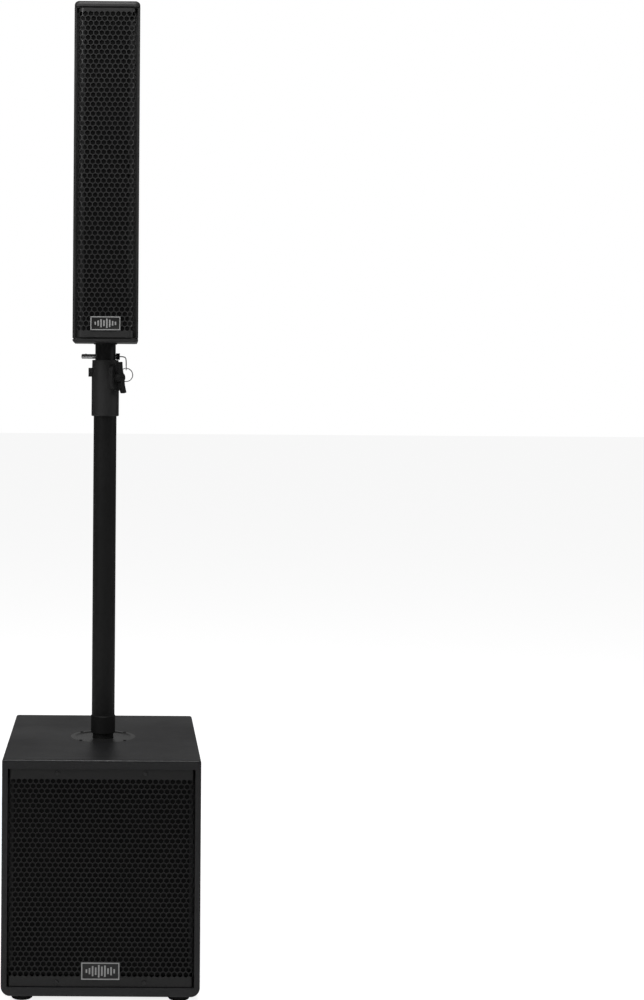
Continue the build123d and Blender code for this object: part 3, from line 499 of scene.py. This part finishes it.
foam_black = bpy.data.materials.new("open_cell_foam")
foam_black.use_nodes = True
foam_shader = foam_black.node_tree.nodes["Principled BSDF"]
foam_shader.inputs["Roughness"].default_value = 0.95
foam_shader.inputs["Specular IOR Level"].default_value = 0.15
foam_cells = foam_black.node_tree.nodes.new("ShaderNodeGroup")
foam_cells.node_tree = foam_cell_group()
foam_cells.inputs["Scale"].default_value = 900.0
foam_cells.inputs["Relief"].default_value = 0.0004
foam_black.node_tree.links.new(foam_cells.outputs["Color"], foam_shader.inputs["Base Color"])
foam_black.node_tree.links.new(foam_cells.outputs["Normal"], foam_shader.inputs["Normal"])


def foam_sheet(name, node, body):
    """A foam slab the size of its CAD node, with soft edges and a faint waviness."""
    low, high = Vector(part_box(node)[0]), Vector(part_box(node)[1])
    clear_selection()
    bpy.ops.mesh.primitive_cube_add(size=1.0, location=(low + high) / 2, scale=high - low)
    slab = bpy.context.object
    bpy.ops.object.transform_apply(location=True, rotation=True, scale=True)
    apply_modifier('BEVEL', width=0.0008, segments=2)
    bpy.ops.object.mode_set(mode='EDIT')
    bpy.ops.mesh.select_all(action='SELECT')
    bpy.ops.mesh.subdivide(number_cuts=14)
    bpy.ops.object.mode_set(mode='OBJECT')
    for point in slab.data.vertices:
        wave = math.sin(point.co.x * 61.0) * math.sin(point.co.z * 47.0)
        point.co.y += 0.0001 * wave
    complete(slab, name, foam_black, body, crease=60.0)
    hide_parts(node)


foam_sheet("sub_grille_foam_sheet", "sub_grille_foam", "cabinet")

# ---- Name-plates --------------------------------------------------------------------------
# Small moulded plates glued to each grille: a dark face inside a raised pale border, with a
# plain row of sound-level bars.

plate_face = grained("plate_dark_face", grey(0.016), grey(0.024), (0.30, 0.42), 2600.0, 0.00001)
pale_print = grained("pale_plate_print", grey(0.42), grey(0.52), (0.34, 0.50), 2600.0, 0.00001)


def name_plate(name, node, body, border, bar_heights):
    """A plate the size of its CAD node with a raised border, and a row of bars across it."""
    low, high = Vector(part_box(node)[0]), Vector(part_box(node)[1])
    middle, size = (low + high) / 2, high - low
    clear_selection()
    bpy.ops.mesh.primitive_cube_add(size=1.0, location=middle, scale=size)
    plate = bpy.context.object
    bpy.ops.object.transform_apply(location=True, rotation=True, scale=True)
    plate.data.materials.append(plate_face)
    plate.data.materials.append(pale_print)
    bpy.ops.object.mode_set(mode='EDIT')
    select_faces(lambda centre, normal: normal.y < -0.9)
    bpy.ops.mesh.inset(thickness=border)
    bpy.ops.mesh.extrude_region_move(TRANSFORM_OT_translate={"value": (0.0, 0.0005, 0.0)})
    select_faces(lambda centre, normal: normal.y < -0.9 and centre.y < low.y + 0.0001)
    plate.active_material_index = 1
    bpy.ops.object.material_slot_assign()
    bpy.ops.object.mode_set(mode='OBJECT')
    apply_modifier('BEVEL', width=0.0002, segments=2, limit_method='ANGLE')
    complete(plate, name, None, body)
    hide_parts(node)
    room = size.z - 2 * border - 0.004
    step = (size.x - 2 * border - 0.008) / len(bar_heights)
    bars = []
    for order, share in enumerate(bar_heights):
        clear_selection()
        across = middle.x + (order - (len(bar_heights) - 1) / 2) * step
        bpy.ops.mesh.primitive_cube_add(size=1.0, location=(across, low.y + 0.0003, middle.z),
                                        scale=(step * 0.5, 0.0004, room * share))
        bpy.ops.object.transform_apply(location=True, rotation=True, scale=True)
        apply_modifier('BEVEL', width=0.0001, segments=1)
        bars.append(bpy.context.object)
    complete(join_pieces(bars), name + "_bars", pale_print, body)


name_plate("sub_name_plate", "sub_badge", "cabinet", 0.0019,
           (0.28, 0.50, 0.82, 0.60, 1.0, 0.74, 0.92, 0.46, 0.66, 0.34))

# ---- Amplifier panel ----------------------------------------------------------------------
# A folded steel panel screwed over the opening in the back, with an anodised heatsink showing
# through it. Plain printed ticks stand round each level control.

panel_paint = grained("panel_powder_coat", grey(0.020), grey(0.034), (0.44, 0.58), 1600.0, 0.00008)
anodised = grained("black_anodising", grey(0.026), grey(0.050), (0.34, 0.50), 700.0, 0.00003,
                   metallic=0.5)
board_green = grained("circuit_board_lacquer", (0.010, 0.060, 0.026), (0.018, 0.095, 0.040),
                      (0.30, 0.46), 900.0, 0.00005)
refinish(panel_paint, "amp_plate", "column_plate")
refinish(anodised, "amp_heatsink")
refinish(board_green, "amp_circuit_board")
refinish(moulded_black, "combo_inputs", "speaker_outputs", "mains_module", "column_sockets")

panel_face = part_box("amp_plate")[1][1]


def middle_of(node):
    """Middle of a node's box, across and up."""
    low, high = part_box(node)
    return (low[0] + high[0]) / 2, (low[2] + high[2]) / 2


ticks = []
for node in ("sub_level_knob", "column_level_knob"):
    knob_x, knob_z = middle_of(node)
    for step in range(11):
        angle = math.radians(-150.0 + 30.0 * step)
        clear_selection()
        bpy.ops.mesh.primitive_cube_add(
            size=1.0, location=(knob_x + 0.0125 * math.sin(angle), panel_face + 0.00005,
                                knob_z + 0.0125 * math.cos(angle)),
            rotation=(0.0, angle, 0.0), scale=(0.0005, 0.0002, 0.0026 if step % 5 == 0 else 0.0017))
        bpy.ops.object.transform_apply(location=True, rotation=True, scale=True)
        apply_modifier('BEVEL', width=0.00005, segments=1)
        ticks.append(bpy.context.object)
complete(join_pieces(ticks), "amp_control_ticks", pale_print, "cabinet")

# ---- Panel screws -------------------------------------------------------------------------
# Blackened screws round the amplifier panel, and smaller ones at two corners of each socket.

plate_low, plate_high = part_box("amp_plate")
plate_mid = (plate_low[2] + plate_high[2]) / 2
plate_screws = [(x, panel_face, plate_mid + z) for x in (-0.117, 0.117) for z in (-0.137, 0.0, 0.137)]
flange_screws = []
socket_columns = (0.084, 0.028)
for node in ("combo_inputs", "speaker_outputs"):
    _, socket_z = middle_of(node)
    for x in socket_columns:
        flange_screws += [(x + 0.0095, panel_face + 0.002, socket_z + 0.012),
                          (x - 0.0095, panel_face + 0.002, socket_z - 0.012)]
screw_set("amp_panel_cross_head_screws", "amp_plate_screws", "cabinet",
          [(plate_screws, (0.0, 1.0, 0.0), 0.0033, 0.0018), (flange_screws, (0.0, 1.0, 0.0), 0.0026, 0.0013)])

# ---- Socket contacts ----------------------------------------------------------------------
# Sprung brass contacts round the post of each speaker socket, and the three flat blades that
# stand in the mains inlet.

contact_brass = grained("contact_brass", (0.50, 0.34, 0.12), (0.66, 0.47, 0.19), (0.22, 0.36),
                        1800.0, 0.00001, metallic=1.0)


def bevelled_block(place, size, width):
    """A small block with its edges taken off."""
    clear_selection()
    bpy.ops.mesh.primitive_cube_add(size=1.0, location=place, scale=size)
    bpy.ops.object.transform_apply(location=True, rotation=True, scale=True)
    apply_modifier('BEVEL', width=width, segments=2)
    return bpy.context.object


def post_contacts(name, body, posts, depth_y):
    """Four contacts standing against the post of each socket."""
    blades = []
    for post_x, post_z in posts:
        for dx, dz in ((0.0042, 0.0), (-0.0042, 0.0), (0.0, 0.0042), (0.0, -0.0042)):
            size = (0.0006, 0.008, 0.0022) if dx else (0.0022, 0.008, 0.0006)
            blades.append(bevelled_block((post_x + dx, depth_y, post_z + dz), size, 0.00015))
    complete(join_pieces(blades), name, contact_brass, body)


_, output_z = middle_of("speaker_outputs")
contact_depth = 0.0095
post_contacts("speaker_output_contacts", "cabinet", [(x, output_z) for x in socket_columns],
              panel_face - contact_depth)
_, mains_z = middle_of("mains_module")
inlet_x = 0.038
blades = [bevelled_block((inlet_x + dx, panel_face - 0.0088, mains_z + dz), (0.0022, 0.0122, 0.0052), 0.0004)
          for dx, dz in ((-0.007, -0.002), (0.0, 0.002), (0.007, -0.002))]
complete(join_pieces(blades), "mains_inlet_blades", contact_brass, "cabinet")

# ---- Controls -----------------------------------------------------------------------------
# Two fluted level knobs with a pale pointer, a rocker switch with its bar and ring marks, the
# phase button and the status lamps.

knob_plastic = grained("smooth_knob_plastic", grey(0.011), grey(0.019), (0.24, 0.36), 2600.0, 0.00001)
refinish(knob_plastic, "power_rocker", "phase_button")

for node in ("sub_level_knob", "column_level_knob"):
    knob_x, knob_z = middle_of(node)
    knob_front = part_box(node)[1][1]
    knob_back = panel_face + 0.0005
    clear_selection()
    bpy.ops.mesh.primitive_cylinder_add(vertices=36, radius=0.009, depth=knob_front - knob_back,
                                        location=(knob_x, (knob_front + knob_back) / 2, knob_z),
                                        rotation=(-math.pi / 2, 0.0, 0.0))
    knob = bpy.context.object
    bpy.ops.object.transform_apply(location=True, rotation=True, scale=True)
    for point in knob.data.vertices:
        flute = round(math.degrees(math.atan2(point.co.x - knob_x, point.co.z - knob_z)) / 10.0) % 2
        taper = 0.93 if point.co.y > knob_back + 0.001 else 1.0
        share = taper * (0.94 if flute else 1.0)
        point.co.x = knob_x + (point.co.x - knob_x) * share
        point.co.z = knob_z + (point.co.z - knob_z) * share
    bpy.ops.object.mode_set(mode='EDIT')
    select_faces(lambda centre, normal: normal.y > 0.9)
    bpy.ops.mesh.inset(thickness=0.0012)
    bpy.ops.mesh.extrude_region_move(TRANSFORM_OT_translate={"value": (0.0, -0.0004, 0.0)})
    bpy.ops.object.mode_set(mode='OBJECT')
    apply_modifier('BEVEL', width=0.0002, segments=2, limit_method='ANGLE')
    complete(knob, node + "_fluted", knob_plastic, node)
    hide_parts(node)
    pointer = bevelled_block((knob_x, knob_front - 0.0003, knob_z + 0.0042), (0.0009, 0.0005, 0.0048), 0.0001)
    complete(pointer, node + "_pointer", pale_print, node)

rocker_x, rocker_z = middle_of("power_rocker")
on_mark = bevelled_block((rocker_x, panel_face + 0.0022, rocker_z + 0.006), (0.0008, 0.0004, 0.0042), 0.0001)
clear_selection()
bpy.ops.mesh.primitive_torus_add(location=(rocker_x, panel_face + 0.0014, rocker_z - 0.006),
                                 rotation=(math.pi / 2, 0.0, 0.0), major_radius=0.0019,
                                 minor_radius=0.0003, major_segments=24, minor_segments=6)
off_mark = bpy.context.object
bpy.ops.object.transform_apply(location=True, rotation=True, scale=True)
complete(join_pieces([on_mark, off_mark]), "power_rocker_marks", pale_print, "power_rocker")

lamp_lens = grained("tinted_lamp_lens", (0.05, 0.22, 0.08), (0.08, 0.34, 0.12), (0.10, 0.18), 1800.0, 0.00001)
refinish(lamp_lens, "status_leds")

# ---- Pole ---------------------------------------------------------------------------------
# Two steel tubes, powder coated satin black: the lower one on a nylon spigot with a moulded
# ferrule at its foot, the thinner mast sliding inside it with a row of pin holes.

tube_coat = grained("tube_powder_coat", grey(0.005), grey(0.009), (0.34, 0.46), 2800.0, 0.00002, specular=0.4)
bush_nylon = grained("black_nylon", grey(0.018), grey(0.030), (0.40, 0.55), 1800.0, 0.00003)
refinish(tube_coat, "pole_tube", "mast_tube")
matt_moulding = grained("matt_dark_moulding", grey(0.004), grey(0.009), (0.52, 0.66), 2400.0, 0.00004,
                        specular=0.35)
refinish(matt_moulding, "pole_ferrule", "pole_spigot")
refinish(bush_nylon, "collar_bush", "clamp_pad")

# ---- Collar and clamp ---------------------------------------------------------------------
# A moulded collar at the top of the lower tube, with a screw boss facing the front right. A
# winged knob drives the screw that presses a pad on the mast.

refinish(moulded_black, "collar_sleeve", "collar_cap")

screw_low, screw_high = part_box("clamp_knob")
clamp_z = (screw_low[2] + screw_high[2]) / 2
wing_top = (screw_high[2] - screw_low[2]) / 2 - 0.0004
wing_tilt = math.radians(11.0)


def wing(direction):
    """One wing of the knob, made facing +X: it rises from the hub, leans out and widens."""
    clear_selection()
    bpy.ops.mesh.primitive_cube_add(size=1.0, location=(0.0375, 0.0, direction * 0.004),
                                    scale=(0.0088, 0.0079, 0.008))
    lobe = bpy.context.object
    bpy.ops.object.transform_apply(location=True, rotation=True, scale=True)
    bpy.ops.object.mode_set(mode='EDIT')
    rise = wing_top - 0.008
    reach = 0.0375
    for share, lean, wide, long in ((0.35, 0.0001, 0.98, 0.96), (0.35, 0.0005, 1.0, 1.03),
                                    (0.30, 0.0008, 0.98, 1.01)):
        reach += lean
        select_faces(lambda centre, normal: normal.z * direction > 0.9)
        bpy.ops.mesh.extrude_region_move(
            TRANSFORM_OT_translate={"value": (lean, 0.0, direction * rise * share)})
        bpy.ops.transform.resize(value=(long, wide, 1.0),
                                 center_override=(reach, 0.0, 0.0))
    bpy.ops.mesh.select_all(action='SELECT')
    bpy.ops.mesh.normals_make_consistent(inside=False)
    bpy.ops.object.mode_set(mode='OBJECT')
    apply_modifier('BEVEL', width=0.0012, segments=3, limit_method='ANGLE')
    return lobe


clear_selection()
bpy.ops.mesh.primitive_cylinder_add(vertices=28, radius=0.0085, depth=0.0105, location=(0.03475, 0.0, 0.0),
                                    rotation=(0.0, math.pi / 2, 0.0))
hub = bpy.context.object
bpy.ops.object.transform_apply(location=True, rotation=True, scale=True)
bpy.ops.object.mode_set(mode='EDIT')
select_faces(lambda centre, normal: normal.x > 0.9)
bpy.ops.mesh.inset(thickness=0.0018)
bpy.ops.mesh.extrude_region_move(TRANSFORM_OT_translate={"value": (0.0010, 0.0, 0.0)})
bpy.ops.object.mode_set(mode='OBJECT')
apply_modifier('BEVEL', width=0.0007, segments=2, limit_method='ANGLE')
clear_selection()
bpy.ops.mesh.primitive_cylinder_add(vertices=24, radius=0.004, depth=0.0115, location=(0.0269, 0.0, 0.0),
                                    rotation=(0.0, math.pi / 2, 0.0))
clamp_screw = bpy.context.object
bpy.ops.object.transform_apply(location=True, rotation=True, scale=True)
apply_modifier('BEVEL', width=0.0005, segments=2, limit_method='ANGLE')
winged_knob = join_pieces([hub, clamp_screw, wing(1.0), wing(-1.0)])
winged_knob.data.transform(Matrix.Translation((0.0, 0.0, clamp_z))
                           @ Matrix.Rotation(math.radians(-45.0), 4, 'Z')
                           @ Matrix.Rotation(wing_tilt, 4, 'X'))
complete(winged_knob, "clamp_winged_knob", matt_moulding, "clamp_knob")
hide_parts("clamp_knob")

# ---- Safety pin ---------------------------------------------------------------------------
# A bright steel pin through the mast, with a black moulded head. A bent wire link hangs from
# the head and carries the bright pull ring.

bright_steel = grained("polished_pin_steel", grey(0.58), grey(0.74), (0.10, 0.22), 2200.0, 0.00001,
                       metallic=1.0)
refinish(bright_steel, "safety_pin", "pull_ring")

pin_low, pin_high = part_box("safety_pin")
pin_z = pin_low[2] + 0.004
head_x = pin_high[0]
eye_x = 0.0354
eye_z = pin_z - 0.020
clear_selection()
bpy.ops.mesh.primitive_cylinder_add(vertices=24, radius=0.0056, depth=0.0065,
                                    location=(head_x + 0.00325, 0.0, pin_z), rotation=(0.0, math.pi / 2, 0.0))
pin_grip = bpy.context.object
bpy.ops.object.transform_apply(location=True, rotation=True, scale=True)
bpy.ops.object.mode_set(mode='EDIT')
select_faces(lambda centre, normal: abs(normal.x) < 0.1)
bpy.ops.mesh.inset(thickness=0.0003, use_individual=True)
bpy.ops.mesh.extrude_region_shrink_fatten(TRANSFORM_OT_shrink_fatten={"value": -0.0004})
bpy.ops.object.mode_set(mode='OBJECT')
complete(pin_grip, "safety_pin_grip", knob_plastic, "safety_pin")
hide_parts("pin_head")

link_line = bpy.data.curves.new("pin_link_line", 'CURVE')
link_line.dimensions = '3D'
link_line.bevel_depth = 0.001
link_line.bevel_resolution = 3
link_run = link_line.splines.new('NURBS')
link_points = [(head_x + 0.0065, pin_z), (head_x + 0.0115, pin_z), (eye_x - 0.0006, pin_z - 0.0018),
               (eye_x, eye_z + 0.010), (eye_x, eye_z + 0.0032)]
link_run.points.add(len(link_points) - 1)
for point, (x, z) in zip(link_run.points, link_points):
    point.co = (x, 0.0, z, 1.0)
link_run.order_u = 3
link_run.use_endpoint_u = True
pin_link = bpy.data.objects.new("pin_link", link_line)
bpy.context.collection.objects.link(pin_link)
clear_selection()
pin_link.select_set(True)
bpy.context.view_layer.objects.active = pin_link
bpy.ops.object.convert(target='MESH')
pin_link = bpy.context.object
clear_selection()
bpy.ops.mesh.primitive_torus_add(location=(eye_x, 0.0, eye_z), rotation=(0.0, math.pi / 2, 0.0),
                                 major_radius=0.0026, minor_radius=0.0009,
                                 major_segments=28, minor_segments=10)
link_eye = bpy.context.object
bpy.ops.object.transform_apply(location=True, rotation=True, scale=True)
complete(join_pieces([pin_link, link_eye]), "safety_pin_wire_link", bright_steel,
         "safety_pin", crease=60.0)

# ---- Column speaker -----------------------------------------------------------------------
# A painted aluminium extrusion closed by moulded caps, with four small drivers and a horn
# behind its own punched grille. It turns on the cup that drops over the mast.

column_paint = grained("column_shell_paint", grey(0.018), grey(0.032), (0.40, 0.54), 1500.0, 0.00012)
# The caps are painted a little paler than the shell: painted light from above on their rounded tops.
cap_moulding = grained("cap_moulding_painted_top_light", grey(0.020), grey(0.034), (0.46, 0.60), 1800.0, 0.00008)
refinish(column_paint, "column_shell")
refinish(cap_moulding, "column_top_cap", "column_bottom_cap")
refinish(moulded_black, "column_baffle", "column_horn")
# Painted light: this coat is several times paler than the subwoofer grille's coat, standing in for the
# stronger light falling on the column grille.
column_coat_painted_light = grained("column_grille_coat_painted_light", grey(0.030), grey(0.058), (0.30, 0.42), 3200.0, 0.00003,
                      specular=0.6)
perforated_grille("column_grille_mesh", "column_grille", "column", 0.0092, 0.0016, 67, 0.0098, 0.0095,
                  column_coat_painted_light)
foam_sheet("column_foam_sheet", "column_foam", "column")
name_plate("column_name_plate", "column_badge", "column", 0.0017,
           (0.30, 0.56, 0.86, 0.62, 1.0, 0.78, 0.48, 0.36))
column_post_x, _ = middle_of("column_sockets")
socket_low, socket_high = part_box("column_sockets")
post_contacts("column_socket_contacts", "column",
              [(column_post_x, socket_low[2] + 0.0118), (column_post_x, socket_high[2] - 0.0118)],
              socket_high[1] - contact_depth)
